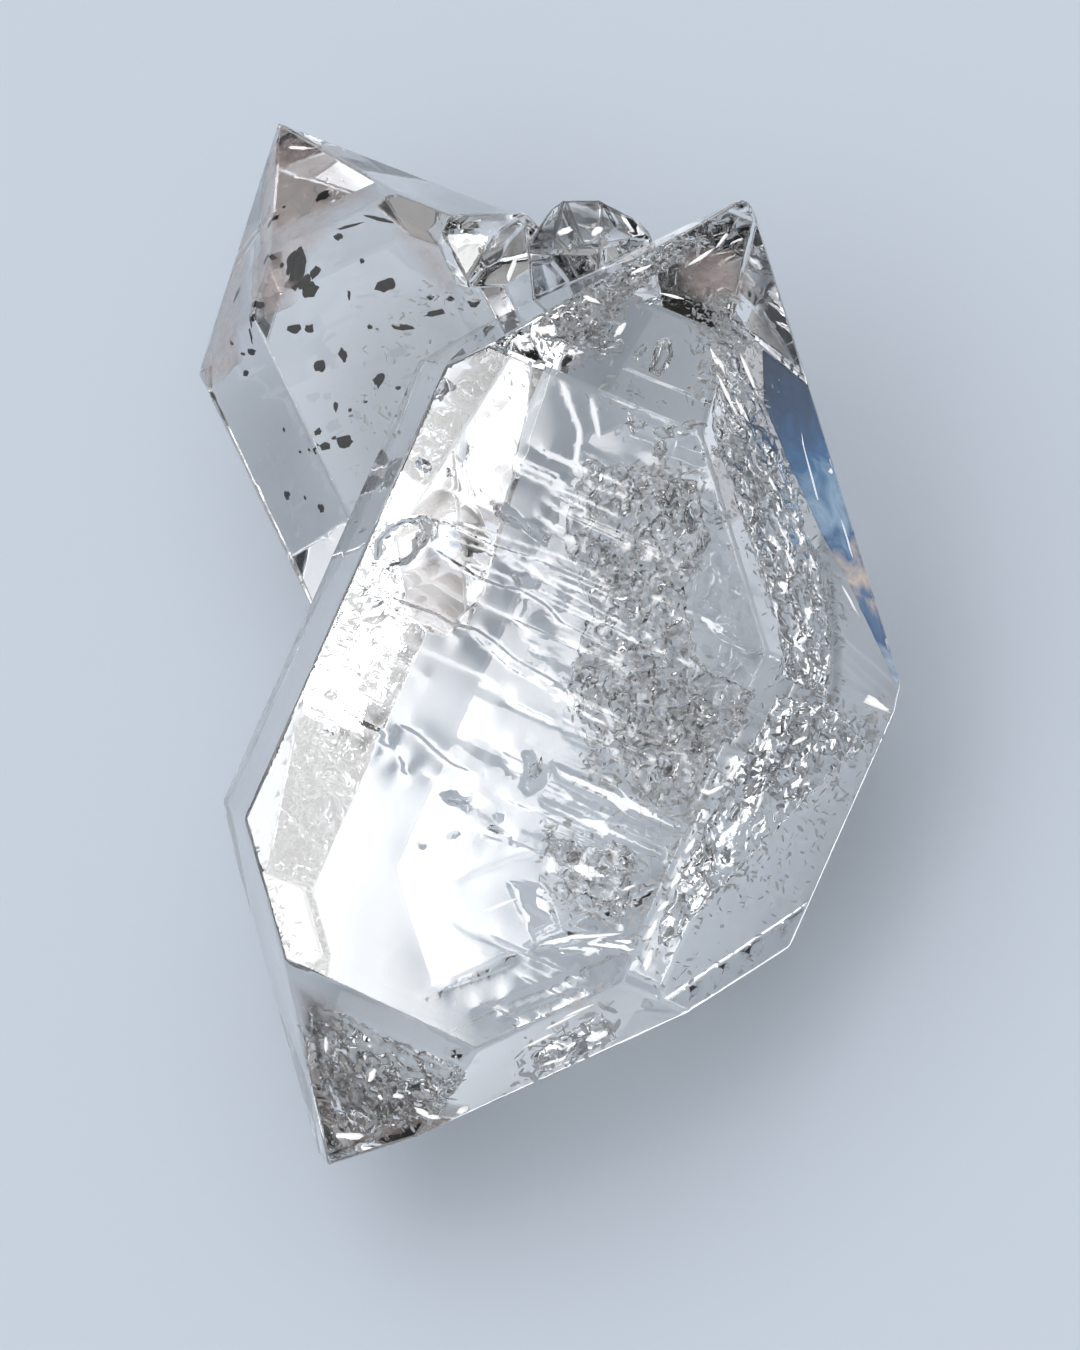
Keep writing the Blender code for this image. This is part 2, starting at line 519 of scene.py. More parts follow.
# A growth line on the broad face: its step in mm, its course in pixels of the photograph, and its
# half width in mm
Line = namedtuple("Line", "depth pixels width", defaults=(0.06,))
WIDE_LINE = 0.07
GROWTH_LINES = (
    Line(0.025, ((436, 518), (461, 530), (492, 545), (530, 557), (576, 576), (620, 596), (665, 618))),
    Line(0.020, ((434, 531), (470, 545), (505, 556), (540, 572), (585, 592), (640, 612))),
    Line(0.020, ((436, 540), (462, 556), (490, 570), (520, 582), (552, 596), (590, 616), (640, 640))),
    Line(0.032, ((430, 546), (461, 566), (480, 578), (500, 586), (520, 589), (545, 604), (561, 622),
        (592, 638), (626, 655)), WIDE_LINE),
    Line(0.020, ((500, 562), (540, 578), (580, 600), (620, 622), (660, 640))),
    Line(0.015, ((452, 520), (500, 536), (560, 556), (610, 580))),
    Line(0.032, ((361, 582), (380, 586), (396, 600), (413, 606), (434, 613), (453, 624), (476, 629),
        (495, 642), (515, 659), (534, 670), (549, 678), (570, 692)), WIDE_LINE),
    Line(0.020, ((468, 632), (490, 650), (510, 668), (532, 680), (560, 700))),
    Line(0.015, ((380, 590), (398, 612), (430, 624), (460, 640))),
    Line(0.020, ((468, 442), (499, 455), (538, 472), (565, 484), (592, 488), (640, 500))),
    Line(0.018, ((498, 452), (530, 463), (560, 476), (600, 480))),
    Line(0.018, ((510, 468), (545, 484), (585, 500), (630, 522))),
    Line(0.022, ((295, 693), (322, 699), (345, 711), (372, 726), (388, 734))),
    Line(0.018, ((300, 700), (325, 707), (357, 722), (380, 733))),
    Line(0.015, ((312, 664), (335, 673), (357, 684))),
    Line(0.012, ((303, 710), (330, 716), (360, 731))),
    Line(0.032, ((395, 722), (418, 734), (435, 750), (452, 764), (476, 774)), WIDE_LINE),
    Line(0.029, ((376, 726), (384, 736), (380, 742), (392, 748), (399, 743))),
    Line(0.029, ((397, 755), (404, 765), (402, 770), (411, 778))),
    Line(0.029, ((364, 524), (378, 530), (386, 528))),
    Line(0.029, ((362, 533), (372, 531), (374, 541), (366, 548), (360, 546))),
    Line(0.029, ((323, 621), (335, 617), (345, 611))),
    Line(0.022, ((322, 728), (330, 728), (334, 735), (325, 737))),
    Line(0.022, ((478, 832), (490, 838), (506, 842), (498, 832), (480, 826))),
    Line(0.020, ((560, 700), (600, 722), (650, 740), (690, 756))),
    Line(0.020, ((556, 716), (610, 738), (660, 762))),
    Line(0.020, ((640, 592), (690, 612), (745, 640))),
    Line(0.020, ((650, 606), (700, 628), (750, 652))),
    Line(0.018, ((700, 622), (730, 640), (760, 650))),
    Line(0.025, ((545, 870), (590, 890), (640, 905))),
    Line(0.025, ((520, 905), (560, 925), (600, 935), (640, 932))),
    Line(0.020, ((530, 950), (570, 945), (620, 948))),
    Line(0.020, ((500, 1000), (540, 985), (580, 968))),
    Line(0.018, ((470, 1010), (520, 996), (570, 978))),
    Line(0.018, ((500, 1018), (540, 1004), (590, 984))),
    Line(0.015, ((440, 990), (480, 978), (520, 962))),
    Line(0.012, ((560, 380), (580, 430), (575, 470))),
    Line(0.012, ((590, 395), (600, 440))),
    Line(0.013, ((545, 600), (600, 626), (660, 652), (700, 668))),
    Line(0.013, ((470, 598), (520, 622), (575, 648), (630, 668))),
    Line(0.011, ((520, 640), (580, 668), (650, 696))),
    Line(0.013, ((545, 690), (610, 716), (680, 744))),
    Line(0.011, ((500, 700), (560, 728), (620, 752))),
    Line(0.011, ((400, 640), (450, 662), (500, 684))),
    Line(0.011, ((440, 486), (490, 508), (540, 528), (600, 552))),
    Line(0.013, ((540, 500), (590, 520), (640, 542), (690, 560))),
    Line(0.011, ((560, 520), (610, 542), (670, 566))),
    Line(0.011, ((480, 738), (540, 762), (600, 786), (660, 812))),
    Line(0.013, ((560, 802), (610, 822), (672, 848))),
    Line(0.011, ((420, 772), (450, 786), (490, 800))),
    Line(0.013, ((455, 880), (505, 862), (545, 850), (600, 862), (650, 874))),
    Line(0.011, ((340, 640), (380, 656), (430, 680))),
)
# A pit or a raised chip on the broad face: depth in mm, how its floor leans in X and Y, and its
# outline in pixels of the photograph
Pit = namedtuple("Pit", "depth lean pixels")
PITS = (
    Pit(0.10, (0.00, 0.00), ((376, 560), (377, 541), (390, 527), (407, 519), (422, 522), (424, 531),
        (417, 538), (418, 550), (408, 562), (388, 566))),
    Pit(0.07, (0.20, 0.10), ((411, 519), (424, 516), (436, 521), (435, 536), (424, 545), (418, 548),
        (417, 540), (424, 532), (422, 523))),
    Pit(0.10, (0.25, 0.10), ((419, 459), (432, 465), (431, 470), (422, 471), (418, 466))),
    Pit(0.06, (0.30, 0.15), ((448, 470), (452, 470), (453, 474), (449, 475))),
    Pit(0.08, (0.22, 0.15), ((495, 503), (506, 505), (524, 519), (549, 536), (545, 544), (528, 532),
        (505, 520), (496, 512))),
    Pit(0.08, (0.22, 0.15), ((512, 574), (528, 574), (541, 582), (536, 590), (520, 586))),
    Pit(0.08, (0.25, 0.12), ((443, 795), (452, 791), (461, 797), (470, 798), (467, 804), (475, 812),
        (463, 813), (457, 805), (446, 802))),
    Pit(0.08, (0.25, 0.12), ((493, 812), (507, 815), (500, 824), (494, 819))),
    Pit(0.07, (0.25, 0.12), ((451, 836), (459, 831), (461, 834), (453, 839))),
    Pit(0.07, (0.25, 0.12), ((420, 846), (425, 845), (426, 850), (421, 851))),
    Pit(0.12, (0.20, 0.20), ((522, 752), (532, 751), (538, 761), (553, 768), (549, 780), (541, 788),
        (527, 796), (519, 786), (526, 772))),
    Pit(0.10, (0.20, 0.25), ((430, 362), (440, 372), (452, 388), (440, 396), (431, 398), (437, 384))),
    Pit(0.10, (0.15, 0.25), ((626, 412), (640, 409), (652, 420), (676, 424), (699, 418), (694, 432),
        (676, 440), (668, 458), (652, 440), (632, 434))),
    Pit(0.02, (0.060, 0.0), ((549, 761), (618, 790), (684, 824), (690, 834), (672, 832), (612, 806),
        (556, 779))),
    Pit(0.02, (0.060, 0.0), ((538, 797), (606, 822), (666, 852), (664, 860), (606, 838), (540, 806))),
    Pit(0.02, (0.075, 0.0), ((505, 880), (545, 884), (560, 930), (535, 940), (520, 915))),
    Pit(0.02, (0.070, 0.0), ((548, 944), (600, 938), (640, 942), (636, 952), (560, 954))),
    Pit(0.02, (0.060, 0.0), ((560, 860), (600, 868), (618, 884), (570, 874))),
)
# Where the broad face turns from mirror smooth to crackled: the X of the border at Y = 0, its slope
# and its width, and the height of the crackle and of the face's soft waves, in mm
CRACKLED_FROM = 5.6
CRACKLED_SLOPE = -0.36
CRACKLED_BORDER = 2.5
CRACKLE_HEIGHT = 0.010
WAVE_HEIGHT = 0.006
# The waves and the crackle: how often they come in X and in Y, their layer of noise and their strength
WAVES = ((0.25, 0.4, 1.0, 1.0),)
CRACKLE = ((1.1, 1.9, 5.0, 1.0), (2.4, 3.4, 9.0, 0.5))
# Fine lines across the broad face's right part: how many, their seed, the Y between which they lie,
# how far left of the crackled border they start, their length, the length of a leg, how much a leg
# turns off, their half width and their step, in mm, and the share of that step that a line may have
FINE_LINES = 46
FINE_LINE_SEED = 31
FINE_LINE_Y = (-15.0, 10.0)
FINE_LINE_START = (1.5, 5.0)
FINE_LINE_LENGTH = (2.5, 7.0)
FINE_LINE_LEG = 0.8
FINE_LINE_TURN = 0.03
FINE_LINE_WIDTH = 0.06
FINE_LINE_STEP = 0.012
FINE_LINE_SHARE = (0.6, 1.6)
# Lines on the other faces: how many to each mm of a face's height, their half width and step in mm
LineSet = namedtuple("LineSet", "density width depth")
PRISM_LINES = LineSet(1.2, 0.10, 0.02)
TERMINAL_LINES = LineSet(0.5, 0.10, 0.012)
# How far outside its face such a line may start, the length of a leg and how much a leg turns off, in
# mm, and between which shares of a face's width and of the set's width and step a single line lies
LINE_START = 1.0
LINE_LEG = 0.9
LINE_TURN = 0.025
LENGTH_SHARE = (0.15, 0.7)
WIDTH_SHARE = (0.6, 1.3)
DEPTH_SHARE = (0.4, 1.4)

# Steps on the foot's front face, as pixels, with their half width and height in mm
FOOT_LINES = (
    ((345, 1012), (430, 1050), (500, 1082)), ((362, 1028), (430, 1058), (496, 1090)),
    ((375, 1044), (430, 1068), (486, 1094)), ((392, 1058), (440, 1078), (478, 1096)),
)
FOOT_LINE_WIDTH = 0.12
FOOT_LINE_STEP = 0.07


def on_broad_face(pixels):
    """Pixels of the photograph as X and Y on the broad face, in mm."""
    places = [ray_to_plane(pixel, *BROAD_PLANE) for pixel in pixels]
    return np.array([(place.x, place.y) for place in places])


def pit_rim(pit):
    """A pit's closed outline on the broad face."""
    return on_broad_face(pit.pixels + pit.pixels[:1])


def broad_grooves():
    """The growth lines of the broad face, and the rims of its pits as lines without a step."""
    grooves = [Groove(on_broad_face(line.pixels), line.width, line.depth) for line in GROWTH_LINES]
    chance = np.random.default_rng(FINE_LINE_SEED)
    for _ in range(FINE_LINES):
        y = chance.uniform(*FINE_LINE_Y)
        start = CRACKLED_FROM + CRACKLED_SLOPE * y - chance.uniform(*FINE_LINE_START)
        xs = np.arange(start, start + chance.uniform(*FINE_LINE_LENGTH), FINE_LINE_LEG)
        ys = y + np.cumsum(chance.normal(0.0, FINE_LINE_TURN, len(xs)))
        depth = FINE_LINE_STEP * chance.uniform(*FINE_LINE_SHARE)
        grooves.append(Groove(np.stack([xs, ys], 1), FINE_LINE_WIDTH, depth))
    return grooves + [Groove(pit_rim(pit), PIT_WALL, 0.0) for pit in PITS]


def ripple(x, y, waves):
    """Smooth noise at a place of the broad face."""
    return sum(
        strength * noise.noise(Vector((x * across, y * upward, layer)))
        for across, upward, layer, strength in waves)


def broad_relief(points, grooves):
    """Height of the broad face: growth lines, pits, soft waves and a crackled right part."""
    height = relief(points, grooves)
    for pit in PITS:
        rim = pit_rim(pit)
        within = inside(points, rim[:-1], rim[1:])
        wall = np.clip(segment_distance(points[within], rim[:-1], rim[1:]) / PIT_WALL, 0.0, 1.0)
        lean = (points[within] - rim.mean(0)) @ np.array(pit.lean)
        height[within] += wall * (lean - pit.depth)
    past = points[:, 0] - CRACKLED_FROM - CRACKLED_SLOPE * points[:, 1]
    rough = np.clip(past / CRACKLED_BORDER, 0.0, 1.0)
    for k, (x, y) in enumerate(points):
        crackle = ripple(x, y, CRACKLE) if rough[k] > 0.0 else 0.0
        height[k] += WAVE_HEIGHT * ripple(x, y, WAVES) + CRACKLE_HEIGHT * rough[k] * crackle
    return height


def random_grooves(line_set, seed, low, high):
    """Straight growth lines across a face, scattered by a fixed seed."""
    chance = np.random.default_rng(seed)
    grooves = []
    for _ in range(int((high[1] - low[1]) * line_set.density)):
        x = chance.uniform(low[0] - LINE_START, high[0])
        length = chance.uniform(*LENGTH_SHARE) * (high[0] - low[0])
        y = chance.uniform(low[1], high[1])
        xs = np.arange(x, x + length, LINE_LEG)
        ys = y + np.cumsum(chance.normal(0.0, LINE_TURN, len(xs)))
        if len(xs) > 1:
            width = line_set.width * chance.uniform(*WIDTH_SHARE)
            depth = line_set.depth * chance.uniform(*DEPTH_SHARE)
            grooves.append(Groove(np.stack([xs, ys], 1), width, depth))
    return grooves


def foot_grooves(plane):
    """The broad steps that run beside the broad face on the foot's front face."""
    grooves = []
    for pixels in FOOT_LINES:
        places = [ray_to_plane(pixel, plane.normal, plane.offset) for pixel in pixels]
        course = np.array([(place.dot(plane.across), place.dot(plane.upward)) for place in places])
        grooves.append(Groove(course, FOOT_LINE_WIDTH, FOOT_LINE_STEP))
    return grooves


def fine_surface(wear):
    """The crystals' surface, finely divided, with growth lines on every face."""
    shape = cad_faces()
    planes = flat_planes(shape)
    surface = Surface(shape)
    for number, plane in enumerate(planes):
        corners = np.array([
            (surface.points[a].dot(plane.across), surface.points[a].dot(plane.upward))
            for a, _ in plane.outline])
        low, high = corners.min(0), corners.max(0)
        grooves, step, height = [], GRID_STEP, relief
        if plane.kind == BROAD:
            grooves, step, height = broad_grooves(), BROAD_STEP, broad_relief
        elif plane.kind == PRISM:
            grooves = random_grooves(PRISM_LINES, number, low, high)
        elif plane.kind == TERMINAL:
            grooves = random_grooves(TERMINAL_LINES, number, low, high)
            if plane.normal.dot(LARGE_FOOT_FRONT[0]) > SAME_PLANE:
                grooves += foot_grooves(plane)
        surface.add_plane(plane, grooves, height, step)
    shape.free()
    surface.wear(wear)
    return surface.to_shape()


def cad_faces():
    """A merged copy of the CAD solid, in the growth frame and in mm."""
    shape = bmesh.new()
    shape.from_mesh(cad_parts[NODE].data)
    bmesh.ops.remove_doubles(shape, verts=shape.verts, dist=CAD_MERGE)
    back = TURN.transposed()
    for vertex in shape.verts:
        vertex.co = back @ (vertex.co / MM - GROWTH_ORIGIN)
    shape.normal_update()
    return shape


def add_object(name, data):
    """A mesh or a camera as an object of the scene."""
    piece = bpy.data.objects.new(name, data)
    bpy.context.scene.collection.objects.link(piece)
    return piece


def shape_mesh(name, shape):
    """A shape as a mesh. The shape is used up."""
    mesh = bpy.data.meshes.new(name)
    shape.to_mesh(mesh)
    shape.free()
    return mesh


def plain_mesh(name, shape):
    """A mesh object in metres from a shape in the growth frame, which is used up."""
    for vertex in shape.verts:
        vertex.co = to_world(vertex.co)
    bmesh.ops.recalc_face_normals(shape, faces=shape.faces)
    return add_object(name, shape_mesh(name, shape))


def quartz_material(settings):
    """Clear colourless quartz, which absorbs nothing over a few centimetres."""
    shader = Shader("quartz")
    shader.set(
        Base_Color=(*settings.body_colour, 1.0), Roughness=0.0, IOR=QUARTZ_IOR, Transmission_Weight=1.0)
    return shader.material


class QUARTZ_OT_crystals(bpy.types.Operator):
    """Build the crystals' fine surface from the CAD faces"""
    bl_idname = "quartz.crystals"
    bl_label = "Crystals"

    def execute(self, context):
        settings = context.scene.quartz_settings
        piece = plain_mesh("quartz_crystals", fine_surface(settings.edge_wear / MM))
        piece.data.materials.append(quartz_material(settings))
        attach(piece, "root")
        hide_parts(NODE)
        return {"FINISHED"}


def crystal_plane(lean, rise, roll, around, rise_off, centre, distance):
    """The plane of one crystal face: its normal and offset in the growth frame."""
    axis = crystal_axis(lean, rise)
    front = Vector((0.0, 0.0, 1.0))
    front = (front - axis * front.dot(axis)).normalized()
    left = front.cross(axis)
    turn, up = radians(roll + around), radians(rise_off)
    normal = (front * cos(turn) + left * sin(turn)) * cos(up) + axis * sin(up)
    return normal, normal.dot(Vector(centre)) + distance


# The two big crystals as the CAD has them, and the rise of a terminal face's normal
UPPER = {"lean": 50.6, "rise": 5.0, "roll": -16.0, "centre": (-16.5, 10.5, -10.35)}
LARGE = {"lean": 0.0, "rise": 0.0, "roll": 0.0, "centre": (0.6, 0.0, -0.5)}
TIP = 38.2
UPPER_FRONT = crystal_plane(around=0.0, rise_off=0.0, distance=6.0, **UPPER)
UPPER_TIP_FRONT = crystal_plane(around=0.0, rise_off=TIP, distance=9.6, **UPPER)
UPPER_TIP_LEFT = crystal_plane(around=60.0, rise_off=TIP, distance=9.6, **UPPER)
LARGE_TIP_FRONT = crystal_plane(around=0.0, rise_off=TIP, distance=14.9, **LARGE)
LARGE_TIP_RIGHT = crystal_plane(around=-60.0, rise_off=TIP, distance=14.8, **LARGE)
LARGE_RIGHT = crystal_plane(around=-60.0, rise_off=0.0, distance=14.7, **LARGE)
LARGE_FOOT_FRONT = crystal_plane(around=0.0, rise_off=-TIP, distance=17.3, **LARGE)
LARGE_FOOT_RIGHT = crystal_plane(around=-60.0, rise_off=-TIP, distance=18.7, **LARGE)
# Sheets across the buds, square to the view, that carry their painted shade
RIGHT_BUD_PLANE = (VIEW, -4.6)
LEFT_BUD_PLANE = (VIEW, -5.3)


def below_surface(pixel, tree, depth):
    """The place that shows at a pixel, so many mm below the face that the camera's ray enters by."""
    ray = (ray_to_plane(pixel, *BROAD_PLANE) - EYE).normalized()
    entry, normal, _, _ = tree.ray_cast(EYE, ray)
    if entry is None:
        raise RuntimeError(f"the ray of pixel {pixel} misses the quartz")
    slant = -normal.dot(ray)
    inner = sqrt(1.0 - (1.0 - slant ** 2) / QUARTZ_IOR ** 2)
    bent = ray / QUARTZ_IOR + normal * (slant / QUARTZ_IOR - inner)
    return entry + bent * (depth / inner)


def sealed_place(pixel, plane, depth):
    """The place that shows at a pixel through a face, sealed so many mm below it."""
    normal, offset = plane
    return ray_to_plane(pixel, normal, offset - depth)


# Specks of bitumen: each one's pixel as x and y, its length and width in pixels, and its tilt in degrees
SPECKS = {
    "tip": (
        (297, 272, 34, 14, 80), (291, 262, 26, 8, 75), (302, 262, 28, 8, 95),
        (294, 284, 18, 12, 10), (305, 282, 16, 10, 60), (299, 254, 14, 7, 60),
        (310, 290, 18, 13, 30), (315, 272, 13, 8, 60), (270, 259, 15, 7, 40),
        (282, 265, 6, 4, 80), (270, 223, 12, 6, 50), (323, 196, 16, 12, 40),
        (338, 237, 9, 7, 0), (254, 304, 8, 7, 0), (237, 294, 16, 7, 60),
        (251, 322, 12, 3, 88), (251, 336, 16, 4, 92), (252, 352, 14, 7, 10),
        (246, 373, 10, 6, 20), (243, 354, 8, 3, 0), (295, 329, 14, 9, 20),
        (309, 329, 9, 9, 0), (230, 339, 5, 3, 0), (350, 226, 26, 3, 15),
        (379, 219, 30, 4, -15), (262, 243, 5, 3, 0), (284, 207, 4, 3, 0),
    ),
    "front": (
        (319, 366, 11, 12, 0), (343, 355, 8, 13, 15), (386, 285, 20, 13, 10),
        (349, 295, 3, 10, 0), (435, 313, 20, 6, 10), (403, 327, 22, 6, -5),
        (362, 261, 5, 5, 0), (345, 442, 16, 12, 20), (334, 438, 5, 4, 0),
        (325, 446, 12, 8, 10), (318, 432, 7, 6, 60), (287, 495, 9, 9, 0),
        (305, 498, 4, 4, 0), (321, 508, 9, 9, 0), (284, 430, 4, 5, 0),
        (379, 380, 10, 16, -30), (336, 407, 5, 9, 0), (300, 452, 4, 3, 0),
        (370, 327, 5, 5, 0), (398, 388, 6, 4, 0), (365, 402, 5, 3, 0),
        (309, 450, 4, 3, 0), (350, 410, 4, 4, 0), (430, 298, 7, 5, 0),
    ),
    "buds": (
        (475, 303, 12, 8, 0), (450, 299, 7, 5, 0),
    ),
}
# Bubbles and other hollows, laid out like the specks
BUBBLES = {
    "top": (
        (662, 355, 50, 19, 75), (640, 352, 22, 9, 60), (655, 300, 18, 8, 30),
        (610, 345, 26, 10, 20), (588, 330, 20, 9, 70), (560, 338, 18, 10, 10),
    ),
    "broad": (
        (636, 424, 22, 9, 0), (664, 432, 24, 12, -10), (690, 424, 20, 8, 10),
        (660, 448, 14, 20, 0), (716, 452, 16, 8, -50), (690, 520, 10, 30, 10),
        (700, 545, 10, 24, -10), (686, 566, 14, 8, 0), (662, 500, 18, 8, -25),
        (566, 500, 16, 5, -25), (520, 524, 40, 7, -32), (536, 770, 24, 12, 60),
        (458, 802, 26, 8, -10), (498, 830, 22, 7, -20), (572, 856, 16, 14, 0),
        (600, 870, 18, 8, 20), (620, 850, 22, 12, 0), (668, 770, 16, 10, 30),
    ),
    "right": (
        (752, 790, 26, 9, 40), (770, 770, 22, 9, 10), (735, 812, 20, 8, 60),
        (700, 860, 18, 8, 40),
    ),
}
# Flat cracks that glow white: painted glints
GLINTS = {
    "dome": (
        (565, 231, 16, 7, 10), (596, 231, 10, 8, 40), (512, 268, 26, 6, 80),
    ),
    "tip": (
        (300, 148, 24, 4, -12),
    ),
    "foot": (
        (350, 1136, 30, 7, 5), (426, 1114, 26, 6, -20), (463, 1110, 12, 8, 30),
        (326, 1045, 16, 4, 80), (372, 1075, 16, 6, 60), (398, 1096, 14, 5, 10),
    ),
    "foot_right": (
        (597, 1036, 22, 12, 30), (552, 1062, 18, 4, 20), (580, 1010, 30, 3, 30),
        (560, 1022, 34, 3, 32), (540, 1040, 30, 3, 34),
    ),
    "right": (
        (690, 846, 18, 6, 50), (676, 880, 16, 6, 60), (664, 905, 14, 5, 40),
        (735, 770, 24, 4, 50), (715, 790, 22, 4, 20), (760, 800, 20, 4, 70),
        (652, 930, 22, 6, 60), (648, 960, 20, 7, 70), (800, 740, 18, 4, 20),
    ),
    "top": (
        (545, 330, 22, 9, 20), (620, 330, 20, 6, 60), (700, 258, 30, 4, 40),
        (672, 296, 20, 4, -20), (592, 300, 18, 5, -30), (722, 240, 20, 3, 60),
        (640, 270, 22, 4, 30), (575, 352, 16, 6, 0), (520, 338, 20, 5, 30),
    ),
    "band": (
        (748, 372, 40, 5, -70), (727, 395, 34, 5, -65), (742, 410, 26, 4, -60),
        (716, 360, 30, 4, -70), (770, 480, 22, 4, -60), (790, 560, 24, 4, -70),
        (812, 560, 18, 3, -70), (812, 478, 90, 2, -82), (848, 542, 40, 2, -80),
        (831, 471, 6, 5, 0), (802, 640, 16, 4, 30), (878, 706, 34, 5, -22),
        (850, 600, 30, 3, -60),
    ),
    "patch": (
        (628, 888, 12, 3, 20), (500, 905, 30, 3, 20), (590, 936, 60, 3, 4),
        (560, 940, 40, 3, 12), (612, 946, 34, 3, -6), (580, 868, 12, 8, 0),
    ),
}
# Depth past which nothing more is laid, and how much deeper each try goes, in mm
DEEPEST = 3.0
DEEPER = 0.1
# How much a blob bulges, how finely, and its depth as a share of its width
BULGE = 0.8
BULGE_GRAIN = 1.9
BLOB_DEPTH = 0.6


def lump(rng, centre, along, width, long_side, wide_side):
    """An irregular closed blob, drawn out along one direction."""
    shape = bmesh.new()
    bmesh.ops.create_icosphere(shape, subdivisions=2, radius=1.0)
    shift = Vector(rng.uniform(-50.0, 50.0, 3))
    deep = along.cross(width)
    for vertex in shape.verts:
        bulge = 1.0 + BULGE * noise.noise(vertex.co * BULGE_GRAIN + shift)
        x, y, z = vertex.co * bulge
        vertex.co = centre + along * x * long_side + width * y * wide_side + deep * z * wide_side * BLOB_DEPTH
    return shape


def gather(name, shapes):
    """Join closed shapes of the growth frame in one mesh object."""
    whole = bmesh.new()
    for shape in shapes:
        mesh = shape_mesh("part", shape)
        whole.from_mesh(mesh)
        bpy.data.meshes.remove(mesh)
    for face in whole.faces:
        face.smooth = True
    return plain_mesh(name, whole)


# The plain materials: bitumen, a flat open crack that glows white as a painted glint, a tiny crack
# stained by bitumen, a pale tiny crack with a faint glow that is a painted sparkle, and a hollow crack
# in quartz, where light passes back into air and out again
PLAIN = {
    "bitumen": {"Base_Color": (0.008, 0.007, 0.006, 1.0), "Roughness": 0.5, "Specular_IOR_Level": 0.08},
    # A flat crack whose white glow is a painted glint
    "bright_crack": {
        "Base_Color": grey(0.9), "Roughness": 0.2,
        "Emission_Color": (1.0, 0.99, 0.97, 1.0), "Emission_Strength": 0.7},
    "stained_crack": {"Base_Color": (0.07, 0.065, 0.06, 1.0), "Roughness": 0.4},
    # A pale tiny crack whose faint glow is a painted sparkle
    "crack_pale": {
        "Base_Color": (0.80, 0.79, 0.77, 1.0), "Roughness": 0.3,
        "Emission_Color": (1.0, 0.99, 0.96, 1.0), "Emission_Strength": 0.45},
    "crack_void": {
        "Base_Color": grey(1.0), "Roughness": 0.02, "IOR": 1.0 / QUARTZ_IOR, "Transmission_Weight": 1.0},
}


def plain_material(name):
    shader = Shader(name)
    shader.set(**PLAIN[name])
    return shader.material


def lay_specks(name, groups, material, seed, depths):
    """Seal a group of irregular blobs behind their pixels, as one piece."""
    rng = np.random.default_rng(seed)
    tree = BVHTree.FromBMesh(cad_faces())
    shapes = []
    for specks in groups.values():
        for x, y, length, breadth, turn in specks:
            depth = rng.uniform(*depths)
            long_side = length / PIXELS_PER_MM / 2
            wide_side = breadth / PIXELS_PER_MM / 2
            centre = below_surface((x, y), tree, depth)
            while sealed_depth(tree, centre) < wide_side + SEAL_MARGIN:
                depth += DEEPER
                if depth > DEEPEST:
                    raise RuntimeError(f"no quartz behind pixel {(x, y)}")
                centre = below_surface((x, y), tree, depth)
            tilt = radians(turn)
            along = PHOTO_RIGHT * cos(tilt) + PHOTO_UP * sin(tilt)
            width = PHOTO_UP * cos(tilt) - PHOTO_RIGHT * sin(tilt)
            shapes.append(lump(rng, centre, along, width, long_side, wide_side))
    piece = gather(name, shapes)
    piece.data.materials.append(material)
    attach(piece, "root")


class QUARTZ_OT_bitumen(bpy.types.Operator):
    """Seal the dark bitumen specks, the bubbles and the flat cracks that glow as painted glints in the
    crystals
    """
    bl_idname = "quartz.bitumen"
    bl_label = "Bitumen specks and bubbles"

    def execute(self, context):
        lay_specks("bitumen_specks", SPECKS, plain_material("bitumen"), seed=11, depths=(0.5, 1.1))
        lay_specks("bubbles", BUBBLES, plain_material("crack_void"), seed=12, depths=(0.5, 0.9))
        # The glowing flat cracks are painted glints
        lay_specks("bright_cracks", GLINTS, plain_material("bright_crack"), seed=13, depths=(0.35, 0.5))
        return {"FINISHED"}


